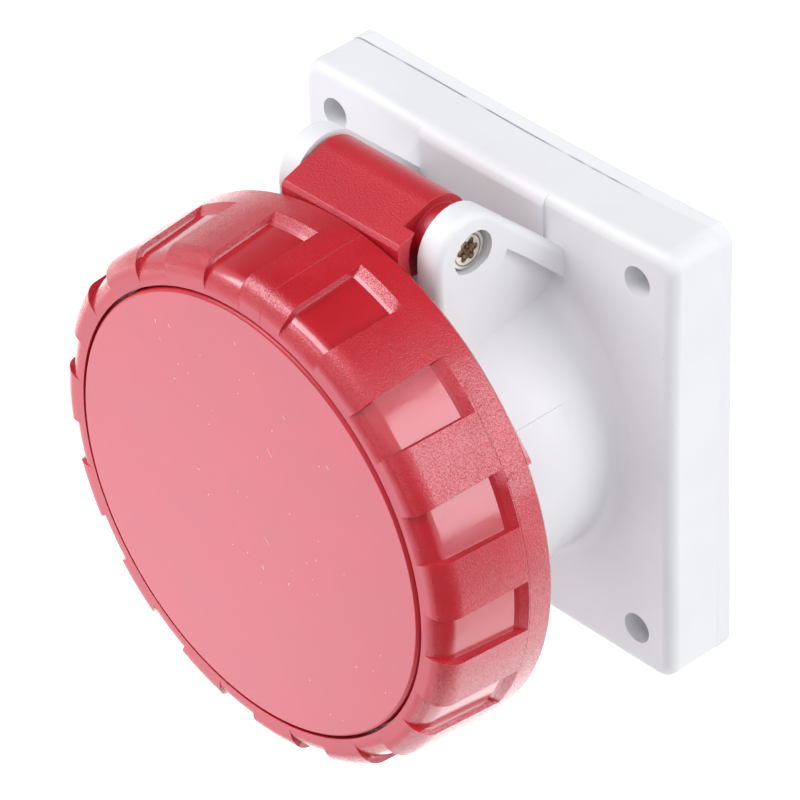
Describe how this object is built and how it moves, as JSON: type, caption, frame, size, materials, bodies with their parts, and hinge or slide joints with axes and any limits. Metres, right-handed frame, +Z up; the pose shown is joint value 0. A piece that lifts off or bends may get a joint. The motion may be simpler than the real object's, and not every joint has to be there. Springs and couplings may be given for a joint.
{
  "type": "industrial panel socket",
  "caption": "Five-pole industrial power socket for a panel, with a square flange, a short tube, and a hinged lid that a bayonet ring locks shut",
  "frame": {"origin": "The middle of the four fixing holes, in the plane of the panel, which is the rear face of the flange gasket.", "axes": "The socket faces -Y and its lid hinges at the top, so +Z is up, +Y points into the panel and +X is to the right as seen from the front."},
  "size_m": [0.0948, 0.0808, 0.0986],
  "materials": {
    "housing_grey": "fine satin",
    "cover_red": "satin gloss",
    "gasket_white": "soft matt foam",
    "seal_black": "matt",
    "insert_grey": "matt",
    "contact_brass": "turned",
    "spring_steel": "bright",
    "plated_steel": "nickel plated"
  },
  "bodies": {
    "socket": {"housing": "housing_grey", "flange_gasket": "gasket_white", "contact_carrier": "insert_grey", "carrier_seal": "seal_black", "terminal_block": "insert_grey", "contact_l1": "contact_brass", "contact_l2": "contact_brass", "contact_l3": "contact_brass", "contact_n": "contact_brass", "contact_e": "contact_brass", "clip_l1": "spring_steel", "clip_l2": "spring_steel", "clip_l3": "spring_steel", "clip_n": "spring_steel", "clip_e": "spring_steel", "terminal_screws": "plated_steel", "block_screws": "plated_steel", "centre_screw": "plated_steel", "hinge_screw": "plated_steel", "hinge_spring": "spring_steel"},
    "lid": {"lid": "cover_red", "lid_seal": "seal_black"},
    "ring": {"locking_ring": "cover_red"}
  },
  "joints": [
    {"name": "lid_hinge", "type": "hinge", "parent": "socket", "child": "lid", "pos_m": [0, -0.0343, 0.0429], "axis": [-1, 0, 0], "range_deg": [0, 120], "stiffness_Nm_per_rad": 0.05, "springref_deg": -28.65, "deforming": ["hinge_spring"]},
    {"name": "ring_turn", "type": "hinge", "parent": "lid", "child": "ring", "pos_m": [0, -0.066, -0.0009], "axis": [0, 1, 0], "range_deg": [0, 40]}
  ]
}
